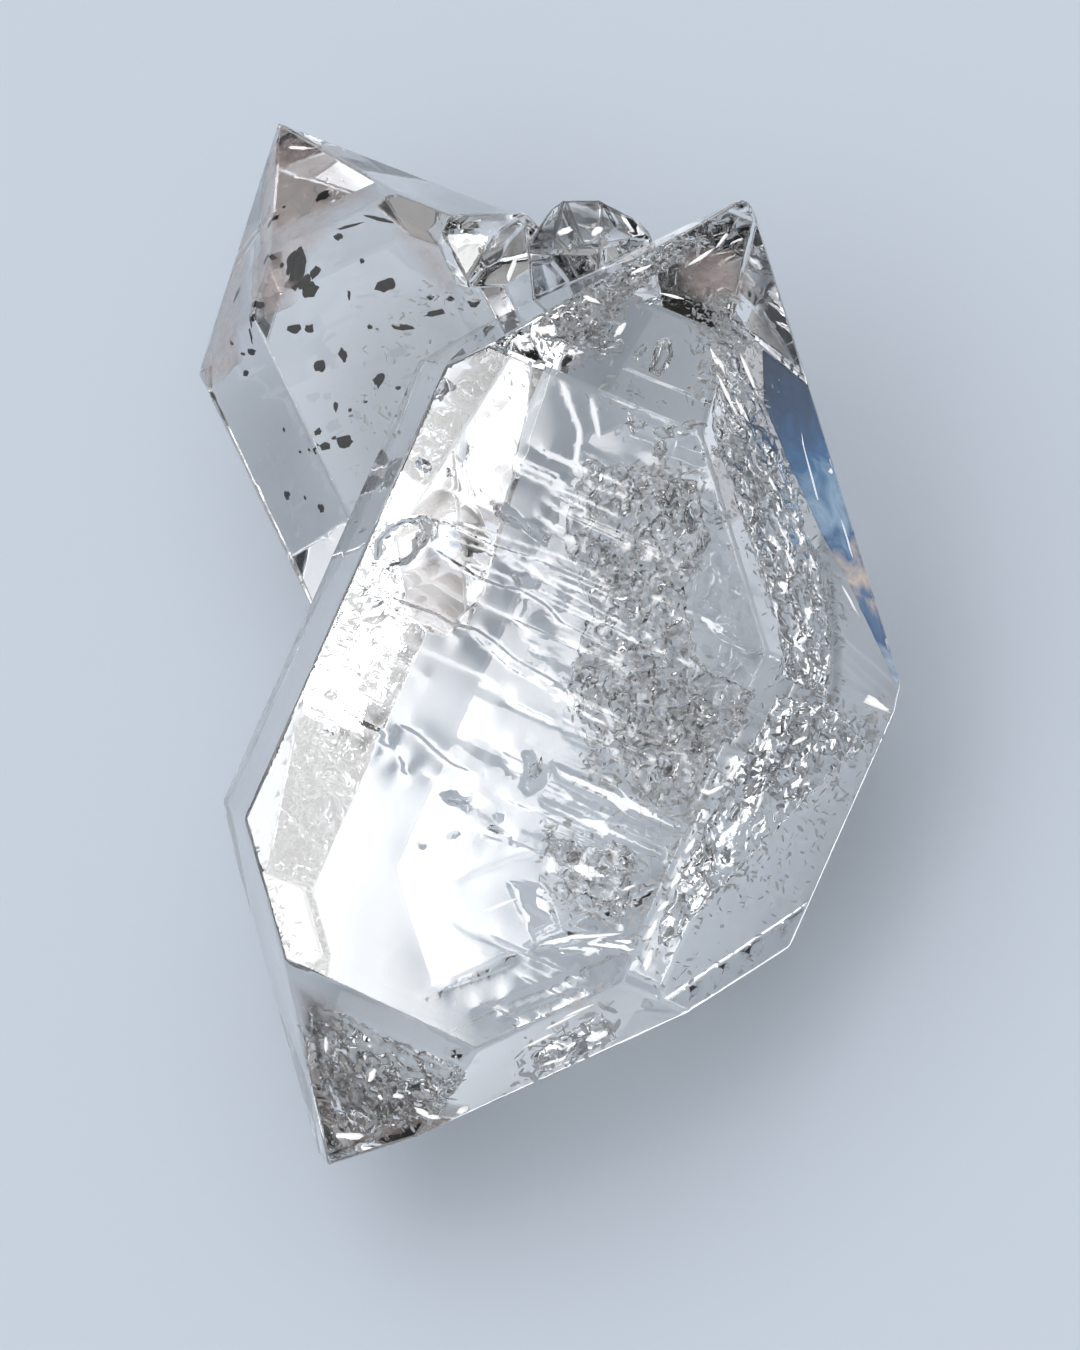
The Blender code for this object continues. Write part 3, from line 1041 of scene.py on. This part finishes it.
# A cloud of tiny cracks below a face: its face, its outline in pixels, how many, their size in mm, the
# depths in mm between which they lie and a seed
Cloud = namedtuple("Cloud", "plane pixels count size depth seed")
CLOUDS = (
    Cloud(BROAD_PLANE, ((600, 462), (700, 466), (712, 500), (700, 560), (680, 600), (694, 660), (740, 690),
        (755, 700), (700, 830), (650, 826), (572, 770), (575, 700), (600, 620)), 1784, 0.14, (0.25, 2.2),
        1),
    Cloud(LARGE_TIP_RIGHT, ((712, 300), (742, 330), (770, 420), (800, 520), (826, 640), (830, 700),
        (800, 790), (770, 790), (765, 640), (722, 500), (706, 430), (690, 330)), 1552, 0.14, (0.25, 2.5),
        2),
    Cloud(LARGE_TIP_FRONT, ((520, 312), (570, 285), (640, 242), (715, 230), (700, 258), (655, 282),
        (622, 312), (606, 352), (612, 372), (560, 352), (520, 345)), 713, 0.14, (0.3, 2.5), 3),
    Cloud(LARGE_TIP_FRONT, ((690, 300), (735, 300), (716, 350), (704, 408), (684, 400), (700, 350)),
        184, 0.14, (0.3, 2.0), 11),
    Cloud(LARGE_RIGHT, ((765, 700), (840, 700), (888, 722), (860, 770), (790, 800), (700, 900), (650, 975),
        (630, 960), (690, 830)), 1008, 0.14, (0.25, 2.5), 4),
    Cloud(BROAD_PLANE, ((540, 820), (655, 860), (635, 930), (540, 900)), 325, 0.14, (0.3, 1.5), 5),
    Cloud(LARGE_FOOT_FRONT, ((305, 990), (350, 1020), (400, 1100), (440, 1095), (470, 1100), (470, 1120),
        (345, 1155), (320, 1080)), 300, 0.18, (0.3, 2.5), 6),
    Cloud(LARGE_FOOT_RIGHT, ((520, 1050), (620, 990), (620, 1060), (500, 1110)), 120, 0.24, (0.3, 2.0), 7),
    Cloud(UPPER_FRONT, ((395, 300), (440, 280), (500, 300), (505, 330), (450, 350), (400, 400), (360, 470),
        (350, 420)), 180, 0.11, (0.3, 1.5), 8),
    Cloud(BROAD_PLANE, ((470, 350), (520, 330), (600, 360), (690, 410), (640, 412), (540, 372)),
        124, 0.14, (0.3, 1.5), 9),
    Cloud(LARGE_RIGHT, ((800, 790), (860, 770), (790, 900), (720, 960), (650, 990), (640, 980),
        (700, 900)), 150, 0.13, (0.4, 3.0), 10),
)
# How softly a cloud ends, in pixels, how it clumps, and how much it keeps to the face
CLOUD_BLUR = 11.0
CLUMP_GRAIN = 0.02
CLUMP_FILL = 0.6
SHALLOW = 1.5
# Length, width and thickness of a flake as shares of its size, and the spread of sizes
FLAKE_LENGTH = 1.2
FLAKE_WIDTH = 0.42
FLAKE_THICKNESS = 0.14
FLAKE_SPREAD = (0.3, 2.1)
# How much quartz a flake needs round its middle, as a share of its size
FLAKE_ROOM = 1.5
# A pale clear patch on the broad face that no crack lies behind
CLEAR_PATCH = ((722, 518), (697, 586), (708, 655), (758, 677), (763, 636), (745, 573))


def crack_tree():
    """Geometry nodes: thin flat flakes scattered through a cloud of points."""
    tree = bpy.data.node_groups.new("tiny_cracks", "GeometryNodeTree")
    names = ("Points", "Flake size", "Thickness", "Seed", "Material")
    for name, kind in zip(names, ("Geometry", "Float", "Float", "Int", "Material")):
        tree.interface.new_socket(name, in_out="INPUT", socket_type="NodeSocket" + kind)
    tree.interface.new_socket("Cracks", in_out="OUTPUT", socket_type="NodeSocketGeometry")
    result = tree.nodes.new("NodeGroupOutput")
    nodes = Nodes(tree)
    points, flake_size, thickness, seed, material = (
        nodes.node("NodeGroupInput", name) for name in names)
    ball = nodes.node("GeometryNodeMeshIcoSphere", "Mesh", None, Radius=1.0, Subdivisions=1)
    sides = nodes.node("ShaderNodeCombineXYZ", 0, None, X=FLAKE_LENGTH, Y=FLAKE_WIDTH, Z=thickness)
    flake = nodes.node("GeometryNodeTransform", 0, None, Geometry=ball, Scale=sides)
    turn = nodes.node(
        "FunctionNodeRandomValue", 0, {"data_type": "FLOAT_VECTOR"},
        Min=(0.0, 0.0, 0.0), Max=(2 * pi, 2 * pi, 2 * pi), Seed=seed)
    spread = nodes.node("FunctionNodeRandomValue", 1, {"data_type": "FLOAT"}, Seed=seed)
    for slot, value in zip(spread.link.node.inputs[2:4], FLAKE_SPREAD):
        slot.default_value = value
    middles = nodes.node("GeometryNodeMeshToPoints", 0, None, Mesh=points)
    scatter = nodes.node(
        "GeometryNodeInstanceOnPoints", 0, None,
        Points=middles, Instance=flake, Rotation=turn, Scale=spread * flake_size)
    real = nodes.node("GeometryNodeRealizeInstances", 0, None, Geometry=scatter)
    paint = nodes.node("GeometryNodeSetMaterial", 0, None, Geometry=real, Material=material)
    join(tree, paint, result.inputs["Cracks"])
    return tree


def use_tree(points, tree, name, **values):
    """Run a geometry-nodes tree on an object and return its result as a plain mesh object."""
    modifier = points.modifiers.new("tree", "NODES")
    modifier.node_group = tree
    for item in tree.interface.items_tree:
        key = item.name.replace(" ", "_").lower()
        if item.in_out == "INPUT" and key in values:
            modifier[item.identifier] = values[key]
    graph = bpy.context.evaluated_depsgraph_get()
    mesh = bpy.data.meshes.new_from_object(points.evaluated_get(graph))
    points.modifiers.remove(modifier)
    bpy.data.objects.remove(points)
    return add_object(name, mesh)


def in_outline(pixel, closed):
    return inside(pixel[None, :], closed[:-1], closed[1:])[0]


def cloud_points(cloud, tree):
    """Places scattered behind an outline of the photograph, at depths below a face."""
    rng = np.random.default_rng(cloud.seed)
    rim = np.array(cloud.pixels, float)
    closed = np.concatenate([rim, rim[:1]])
    patch = np.array(CLEAR_PATCH + CLEAR_PATCH[:1], float)
    low, high = rim.min(0), rim.max(0)
    places = []
    while len(places) < cloud.count:
        pixel = rng.uniform(low, high)
        near = pixel + rng.normal(0.0, CLOUD_BLUR, 2)
        depth = cloud.depth[0] + (cloud.depth[1] - cloud.depth[0]) * rng.uniform() ** SHALLOW
        if in_outline(near, closed) and not in_outline(pixel, patch):
            clump = noise.noise(Vector((*(pixel * CLUMP_GRAIN), cloud.seed * 3.0)))
            place = sealed_place(pixel, cloud.plane, depth)
            room = sealed_depth(tree, place) > cloud.size * FLAKE_ROOM + SEAL_MARGIN
            if rng.uniform() < CLUMP_FILL + clump and room:
                places.append(place)
    return places


def point_object(name, places):
    mesh = bpy.data.meshes.new(name)
    mesh.from_pydata([to_world(place) for place in places], [], [])
    return add_object(name, mesh)


def join_pieces(name, pieces):
    """Several plain meshes as one object."""
    whole = bmesh.new()
    for piece in pieces:
        whole.from_mesh(piece.data)
    mesh = shape_mesh(name, whole)
    mesh.materials.append(pieces[0].data.materials[0])
    for piece in pieces:
        bpy.data.objects.remove(piece)
    return add_object(name, mesh)


class QUARTZ_OT_cracks(bpy.types.Operator):
    """Scatter the clouds of tiny cracks below the faces"""
    bl_idname = "quartz.cracks"
    bl_label = "Clouds of cracks"

    def execute(self, context):
        settings = context.scene.quartz_settings
        tree = crack_tree()
        solid = BVHTree.FromBMesh(cad_faces())
        clouds = [(cloud, cloud_points(cloud, solid)) for cloud in CLOUDS]
        hollow, stained = settings.hollow_share, 1.0 - settings.dark_share
        for name, material, start, end in (
                ("crack_voids", plain_material("crack_void"), 0.0, hollow),
                # Pale cracks with a faint glow, a painted sparkle
                ("crack_pale", plain_material("crack_pale"), hollow, stained),
                ("crack_stained", plain_material("stained_crack"), stained, 1.0)):
            made = []
            for cloud, places in clouds:
                chosen = places[int(len(places) * start):int(len(places) * end)]
                points = point_object("cloud", chosen)
                made.append(use_tree(
                    points, tree, "cloud_cracks", flake_size=cloud.size * MM, thickness=FLAKE_THICKNESS,
                    seed=cloud.seed, material=material))
            piece = join_pieces(name, made)
            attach(piece, "root")
        return {"FINISHED"}


# A veil: a thin hollow or filled sheet sealed below a face. Its face, outline in pixels, depth and
# thickness in mm, how strongly and how finely it is crumpled, and the distance between its points
Veil = namedtuple("Veil", "plane pixels depth thickness crumple grain step seed")
VOID_VEILS = (
    Veil(BROAD_PLANE, ((585, 455), (650, 470), (700, 480), (716, 540), (692, 590), (700, 660), (755, 690),
        (700, 800), (660, 815), (600, 745), (560, 700), (590, 610), (560, 540)),
        1.0, 0.10, 0.42, 0.9, 0.16, 1),
    Veil(LARGE_TIP_RIGHT, ((716, 320), (745, 380), (790, 500), (822, 600), (826, 700), (790, 770),
        (770, 640), (745, 560), (725, 500), (700, 430)), 0.9, 0.10, 0.28, 1.5, 0.17, 2),
    Veil(LARGE_TIP_FRONT, ((525, 305), (600, 262), (690, 240), (715, 250), (660, 285), (625, 312),
        (608, 350), (612, 366), (540, 345)), 1.0, 0.10, 0.30, 1.0, 0.17, 3),
    Veil(LARGE_RIGHT, ((770, 690), (830, 700), (865, 740), (800, 800), (715, 890), (660, 950), (645, 930),
        (700, 820)), 0.9, 0.10, 0.26, 1.5, 0.18, 4),
    Veil(LARGE_FOOT_FRONT, ((310, 990), (400, 1030), (465, 1060), (470, 1100), (350, 1145), (325, 1080)),
        1.0, 0.12, 0.50, 1.7, 0.20, 5),
    Veil(LARGE_FOOT_RIGHT, ((520, 1050), (600, 1000), (625, 1040), (560, 1085)),
        0.8, 0.10, 0.26, 1.2, 0.20, 6),
    Veil(BROAD_PLANE, ((540, 825), (640, 860), (630, 925), (560, 890)), 0.8, 0.08, 0.36, 0.9, 0.16, 7),
)
# How strongly and how finely a film is crumpled, and its thickness in mm
OIL = (0.06, 0.3)
GREY_FILM_CRUMPLE = (0.05, 0.4)
BUD_SHADE_CRUMPLE = (0.03, 0.4)
FILM_THICKNESS = 0.05


def film(plane, pixels, depth, seed, crumpling=OIL, step=0.35):
    """A veil that is thin and hardly crumpled."""
    return Veil(plane, pixels, depth, FILM_THICKNESS, *crumpling, step, seed)


WARM_VEILS = (
    film(UPPER_TIP_FRONT, ((272, 128), (300, 140), (350, 175), (392, 210), (345, 225), (310, 262),
        (306, 300), (300, 345), (240, 378), (212, 394), (218, 330), (240, 230)), 1.5, 11),
    film(UPPER_TIP_FRONT, ((246, 232), (290, 250), (302, 300), (298, 345), (240, 376), (212, 393),
        (216, 340)), 2.0, 12),
    film(UPPER_TIP_LEFT, ((244, 190), (264, 150), (266, 260), (244, 374), (210, 388), (213, 310)), 1.0, 13),
    film(UPPER_FRONT, ((380, 208), (425, 222), (455, 262), (460, 300), (435, 300), (400, 250)), 1.0, 14),
    film(LARGE_TIP_FRONT, ((672, 262), (700, 250), (738, 262), (742, 306), (706, 318), (676, 300)),
        1.2, 15),
    film(LARGE_TIP_FRONT, ((680, 262), (735, 262), (745, 300), (700, 312), (676, 290)), 1.9, 16),
    film(LARGE_FOOT_FRONT, ((296, 972), (345, 995), (356, 1030), (312, 1040)), 1.0, 17),
    film(LARGE_FOOT_FRONT, ((312, 1040), (480, 1104), (440, 1130), (345, 1156)), 1.4, 18),
)
GREY_FILM_VEILS = (
    film(LARGE_TIP_RIGHT, ((748, 246), (764, 262), (806, 392), (780, 372), (752, 346), (742, 300)),
        0.8, 31, GREY_FILM_CRUMPLE, 0.30),
    # Painted shade: grey sheets across the buds where their rims and domes look dark
    film(RIGHT_BUD_PLANE, ((520, 246), (540, 212), (566, 200), (603, 200), (622, 213), (644, 236),
        (624, 240), (600, 226), (566, 226), (545, 236)), 0.0, 32, BUD_SHADE_CRUMPLE, 0.16),
    film(RIGHT_BUD_PLANE, ((520, 250), (540, 212), (566, 200), (603, 200), (622, 213), (648, 240),
        (620, 250), (580, 250), (545, 262)), 0.4, 36, BUD_SHADE_CRUMPLE, 0.16),
    film(LEFT_BUD_PLANE, ((440, 226), (470, 208), (495, 206), (510, 222), (516, 250), (512, 290),
        (500, 270), (502, 234), (470, 228)), 0.0, 33, BUD_SHADE_CRUMPLE, 0.16),
    film(LARGE_TIP_RIGHT, ((818, 560), (830, 600), (836, 650), (836, 712), (822, 700), (820, 640)),
        0.8, 34, GREY_FILM_CRUMPLE, 0.20),
    film(LARGE_FOOT_FRONT, ((300, 980), (330, 1000), (330, 1060), (322, 1100), (310, 1050)),
        0.8, 35, GREY_FILM_CRUMPLE, 0.20),
)
# A crack painted with a blue reflection and one warm glint
BLUE_VEIL = Veil(
    LARGE_TIP_RIGHT, ((756, 352), (815, 398), (842, 480), (872, 570), (896, 655), (890, 690),
                      (868, 640), (838, 578), (812, 530), (778, 455), (758, 408)),
    0.7, 0.05, 0.05, 0.4, 0.25, 21)
BLUE_START = (756, 352)
BLUE_END = (890, 690)
# How far the rim of a crumpled sheet wanders, in mm, how often, and its least and its further share
RAGGED_RIM = 0.25
RIM_GRAIN = 1.7
RIM_SHARES = (0.2, 2.0)
# Sheets less crumpled than this, in mm, are films with a smooth rim
FILM_CRUMPLE = 0.1
# Distance over which a film fades in from its rim, in mm
VEIL_FADE = 0.8
# The crumpling of a sheet, from coarse to fine: how often it comes within a grain, and how strong it is
CRUMPLES = ((1.3, 1.0), (3.1, 0.6), (6.3, 0.35))
# How far a sheet's points stray, and the longest side of its triangles, as shares of their distance
STRAY = 0.12
LONGEST_SIDE = 2.2


def sealed_depth(tree, point):
    """How deep a point lies inside the solid, below zero outside it."""
    place, normal, _, distance = tree.find_nearest(point)
    return distance if (point - place).dot(normal) < 0.0 else -distance


def veil_shape(veil, tree):
    """A thin closed sheet below a face, crumpled by smooth noise and pinched at its ragged rim."""
    normal, offset = veil.plane
    across = normal.orthogonal().normalized()
    upward = normal.cross(across)
    rim = [sealed_place(pixel, veil.plane, veil.depth) for pixel in veil.pixels]
    rim = np.array([(place.dot(across), place.dot(upward)) for place in rim])
    closed = np.concatenate([rim, rim[:1]])
    grid = hex_grid(rim.min(0), rim.max(0), veil.step)
    grid += np.random.default_rng(veil.seed).normal(0.0, veil.step * STRAY, grid.shape)
    grid = grid[inside(grid, closed[:-1], closed[1:])]
    grid = grid[segment_distance(grid, closed[:-1], closed[1:]) > veil.step * 0.5]
    if veil.crumple < FILM_CRUMPLE:
        border, _ = walk(closed, veil.step)
        grid = np.concatenate([border, grid])
    else:
        near = segment_distance(grid, closed[:-1], closed[1:])
        ragged = np.array([
            noise.noise(Vector((x * RIM_GRAIN, y * RIM_GRAIN, veil.seed))) for x, y in grid])
        grid = grid[near > RAGGED_RIM * (RIM_SHARES[0] + np.maximum(ragged, 0.0) * RIM_SHARES[1])]
    middle = offset - veil.depth

    def level(x, y, side):
        place = Vector((x / veil.grain, y / veil.grain, veil.seed * 5.0 + side * 3.0))
        rough = sum(strength * noise.noise(place * often) for often, strength in CRUMPLES)
        return middle + side * veil.thickness / 2 + veil.crumple * rough

    kept = []
    for x, y in grid:
        point = across * x + upward * y + normal * middle
        if sealed_depth(tree, point) > veil.crumple + veil.thickness + SEAL_MARGIN:
            kept.append((x, y))
    places, _, faces, _, _, _ = delaunay_2d_cdt([Vector(place) for place in kept], [], [], 0, CDT_MERGE)
    longest = veil.step * LONGEST_SIDE
    flat = [face for face in faces if max(
        (places[a] - places[b]).length for a, b in zip(face, face[1:] + face[:1])) < longest]
    if not flat:
        raise RuntimeError(f"nothing of veil {veil.seed} lies inside the quartz")
    counts = {}
    for face in flat:
        for a, b in zip(face, face[1:] + face[:1]):
            key = (min(a, b), max(a, b))
            counts[key] = counts.get(key, 0) + 1
    edge_points = {index for key, count in counts.items() if count == 1 for index in key}
    shape = bmesh.new()
    fading = shape.verts.layers.float.new("fade")
    used = sorted({index for face in flat for index in face})
    top, low = {}, {}
    for index in used:
        x, y = places[index]
        base = across * x + upward * y
        if index in edge_points:
            top[index] = low[index] = shape.verts.new(base + normal * level(x, y, 0))
        else:
            gap = max(level(x, y, 1) - level(x, y, -1), LEAST_GAP)
            top[index] = shape.verts.new(base + normal * (level(x, y, -1) + gap))
            low[index] = shape.verts.new(base + normal * level(x, y, -1))
    for face in flat:
        if len({top[i] for i in face} | {low[i] for i in face}) > 3:
            shape.faces.new([top[i] for i in face])
            shape.faces.new([low[i] for i in reversed(face)])
    bmesh.ops.delete(shape, geom=[v for v in shape.verts if not v.link_faces], context="VERTS")
    flat_places = np.array([(vertex.co.dot(across), vertex.co.dot(upward)) for vertex in shape.verts])
    for vertex, away in zip(shape.verts, segment_distance(flat_places, closed[:-1], closed[1:])):
        vertex[fading] = min(1.0, away / VEIL_FADE)
    return shape


def veil_piece(name, veils, material):
    tree = BVHTree.FromBMesh(cad_faces())
    piece = gather(name, [veil_shape(veil, tree) for veil in veils])
    piece.data.materials.append(material)
    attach(piece, "root")
    return piece


def warm_material():
    """A faint film of brownish oil on a healed crack."""
    shader = Shader("oil_film")
    cloudy = shader.cloudy(900.0)
    tint = shader.node("ShaderNodeValToRGB", 0, {"stops": (
        (0.35, (0.68, 0.55, 0.52, 1.0)), (0.65, (0.84, 0.70, 0.66, 1.0)))}, Fac=cloudy)
    thick = shader.node("ShaderNodeAttribute", 2, {"attribute_name": "fade"})
    shader.set(Base_Color=tint, Roughness=0.6, Alpha=(cloudy * 0.46 + 0.06) * thick)
    return shader.material


def grey_film_material():
    """Grey translucent films: painted shade across the buds, and grey patches below the large crystal's
    faces.
    """
    shader = Shader("dusky_quartz")
    cloudy = shader.cloudy(700.0)
    thick = shader.node("ShaderNodeAttribute", 2, {"attribute_name": "fade"})
    shader.set(Base_Color=(0.10, 0.095, 0.11, 1.0), Roughness=0.6, Alpha=(cloudy * 0.6 + 0.08) * thick)
    return shader.material


def blue_reflection_material():
    """An open crack painted with a blue reflection and one warm glint, glowing faintly in these colours."""
    shader = Shader("blue_crack")
    cloudy = shader.cloudy(520.0, 3.0, 0.8)
    course = shader.along("along") + (cloudy - 0.5) * 0.36
    colour = shader.node("ShaderNodeValToRGB", 0, {"stops": (
        (0.02, linear(52, 66, 90)), (0.20, linear(58, 80, 112)), (0.34, linear(66, 112, 158)),
        (0.47, linear(158, 186, 208)), (0.58, linear(72, 112, 156)), (0.68, linear(226, 208, 190)),
        (0.77, linear(96, 124, 160)), (0.88, linear(64, 104, 152)),
        (0.97, linear(190, 204, 218)))}, Fac=course)
    # Painted reflection: the blue and the warm glint are colours that glow
    shader.set(Base_Color=colour, Roughness=0.25, Emission_Color=colour, Emission_Strength=0.35)
    return shader.material


def lay_course(piece, start, end):
    """Give a piece a UV map that runs from one pixel to another along its first direction."""
    normal, offset = LARGE_TIP_RIGHT
    first, last = (to_world(ray_to_plane(pixel, normal, offset)) for pixel in (start, end))
    run = last - first
    side = run.cross(TURN @ normal).normalized()
    layer = piece.data.uv_layers.new(name="along")
    for loop in piece.data.loops:
        away = piece.data.vertices[loop.vertex_index].co - first
        layer.data[loop.index].uv = (away.dot(run) / run.length_squared, away.dot(side) / run.length)


class QUARTZ_OT_veils(bpy.types.Operator):
    """Seal the crumpled cracks, the oil films, the grey films with their painted shade and the crack painted
    with a blue reflection below the faces
    """
    bl_idname = "quartz.veils"
    bl_label = "Veils"

    def execute(self, context):
        veil_piece("crumpled_cracks", VOID_VEILS, plain_material("crack_void"))
        veil_piece("oil_films", WARM_VEILS, warm_material())
        # Grey films, those across the buds painted shade
        veil_piece("dusky_films", GREY_FILM_VEILS, grey_film_material())
        # The crack painted with a blue reflection
        blue = veil_piece("blue_crack", (BLUE_VEIL,), blue_reflection_material())
        lay_course(blue, BLUE_START, BLUE_END)
        return {"FINISHED"}


# How the window's brightness falls off from its left side to its right
WINDOW_FADE = ((0.0, grey(1.0)), (0.56, grey(0.96)), (0.67, grey(0.50)), (0.78, grey(0.10)), (1.0, grey(0.0)))


def mirrored_place(pixel, distance):
    """Where the photograph's ray goes once the broad face has mirrored it, in mm."""
    place = ray_to_plane(pixel, *BROAD_PLANE)
    ray = (place - EYE).normalized()
    ray.z = -ray.z
    return place + ray * distance


# The window as the broad face mirrors it: its corners in pixels of the photograph, and its distance
WINDOW_PIXELS = ((60, 180), (800, 180), (640, 1180), (60, 1180))
WINDOW_DISTANCE = 520.0


def build_window(settings):
    """The bright soft window that the broad face mirrors to the camera."""
    shape = bmesh.new()
    places = [mirrored_place(pixel, WINDOW_DISTANCE) for pixel in WINDOW_PIXELS]
    face = shape.faces.new([shape.verts.new(place) for place in places])
    layer = shape.loops.layers.uv.new("window")
    for loop, place in zip(face.loops, ((0, 1), (1, 1), (1, 0), (0, 0))):
        loop[layer].uv = place
    window = plain_mesh("window", shape)
    shader = Shader("window_light")
    fade = shader.node("ShaderNodeValToRGB", 0, {"stops": WINDOW_FADE}, Fac=shader.along("window"))
    shader.set(Base_Color=grey(0.0), Specular_IOR_Level=0.0, Emission_Color=fade,
               Emission_Strength=settings.window_strength)
    window.data.materials.append(shader.material)
    window.visible_camera = False
    window.visible_diffuse = False
    window.visible_shadow = False


# Half the floor's side in metres, and the soft sky's brightness and its colours from below to above
FLOOR_HALF = 4.0
SKY_STRENGTH = 1.62
SKY_STOPS = (
    (0.0, grey(0.25)), (0.5, grey(0.14)), (0.60, (0.24, 0.25, 0.27, 1.0)),
    (0.74, (0.84, 0.87, 0.91, 1.0)), (1.0, (0.97, 0.98, 1.0, 1.0)))


def build_floor(settings):
    shape = bmesh.new()
    corners = [(-1, -1), (1, -1), (1, 1), (-1, 1)]
    shape.faces.new([shape.verts.new((x * FLOOR_HALF, y * FLOOR_HALF, 0.0)) for x, y in corners])
    floor = add_object("floor", shape_mesh("floor", shape))
    shader = Shader("floor_paint")
    shader.set(Base_Color=(*settings.floor_colour, 1.0), Roughness=0.9, Specular_IOR_Level=0.1)
    floor.data.materials.append(shader.material)


def build_world():
    world = bpy.data.worlds.new("studio")
    world.use_nodes = True
    nodes = Nodes(world.node_tree)
    place = nodes.node("ShaderNodeTexCoord", "Generated")
    rise = nodes.node("ShaderNodeSeparateXYZ", "Z", None, Vector=place)
    colour = nodes.node("ShaderNodeValToRGB", 0, {"stops": SKY_STOPS}, Fac=rise)
    sky = world.node_tree.nodes["Background"]
    join(world.node_tree, colour, sky.inputs["Color"])
    sky.inputs["Strength"].default_value = SKY_STRENGTH
    bpy.context.scene.world = world


def build_camera():
    """The camera at the photograph's place."""
    data = bpy.data.cameras.new("photo_camera")
    data.sensor_fit = "VERTICAL"
    data.sensor_height = FILM
    data.lens = PIXELS_PER_MM * CAMERA_DISTANCE * FILM / PHOTO_SIZE[1]
    data.clip_start = 0.01
    camera = add_object("photo_camera", data)
    turned = Matrix((TURN @ PHOTO_RIGHT, TURN @ PHOTO_UP, TURN @ VIEW)).transposed()
    camera.matrix_world = Matrix.Translation(to_world(EYE)) @ turned.to_4x4()
    bpy.context.scene.camera = camera


class QUARTZ_OT_stage(bpy.types.Operator):
    """Set the pale floor, the soft light and the camera"""
    bl_idname = "quartz.stage"
    bl_label = "Stage"

    def execute(self, context):
        settings = context.scene.stage_settings
        build_floor(settings)
        build_window(settings)
        build_world()
        build_camera()
        context.scene.view_settings.view_transform = "Standard"
        context.scene.cycles.max_bounces = LIGHT_BOUNCES
        context.scene.cycles.transmission_bounces = LIGHT_BOUNCES
        context.scene.cycles.glossy_bounces = LIGHT_BOUNCES
        return {"FINISHED"}


class QUARTZ_PT_panel(bpy.types.Panel):
    bl_label = "Quartz group"
    bl_idname = "QUARTZ_PT_panel"
    bl_space_type = "VIEW_3D"
    bl_region_type = "UI"
    bl_category = "Quartz"

    def draw(self, context):
        for operator in OPERATORS:
            self.layout.operator(operator.bl_idname)
        for group in (context.scene.quartz_settings, context.scene.stage_settings):
            for name in group.__annotations__:
                self.layout.prop(group, name)


OPERATORS = (QUARTZ_OT_crystals, QUARTZ_OT_bitumen, QUARTZ_OT_cracks, QUARTZ_OT_veils, QUARTZ_OT_stage)
CLASSES = (QuartzSettings, StageSettings, *OPERATORS, QUARTZ_PT_panel)


def register():
    for item in CLASSES:
        bpy.utils.register_class(item)
    bpy.types.Scene.quartz_settings = bpy.props.PointerProperty(type=QuartzSettings)
    bpy.types.Scene.stage_settings = bpy.props.PointerProperty(type=StageSettings)


def unregister():
    del bpy.types.Scene.stage_settings
    del bpy.types.Scene.quartz_settings
    for item in reversed(CLASSES):
        bpy.utils.unregister_class(item)


def main():
    register()
    bpy.ops.quartz.crystals()
    bpy.ops.quartz.bitumen()
    bpy.ops.quartz.cracks()
    bpy.ops.quartz.veils()
    bpy.ops.quartz.stage()


if __name__ == "__main__":
    main()
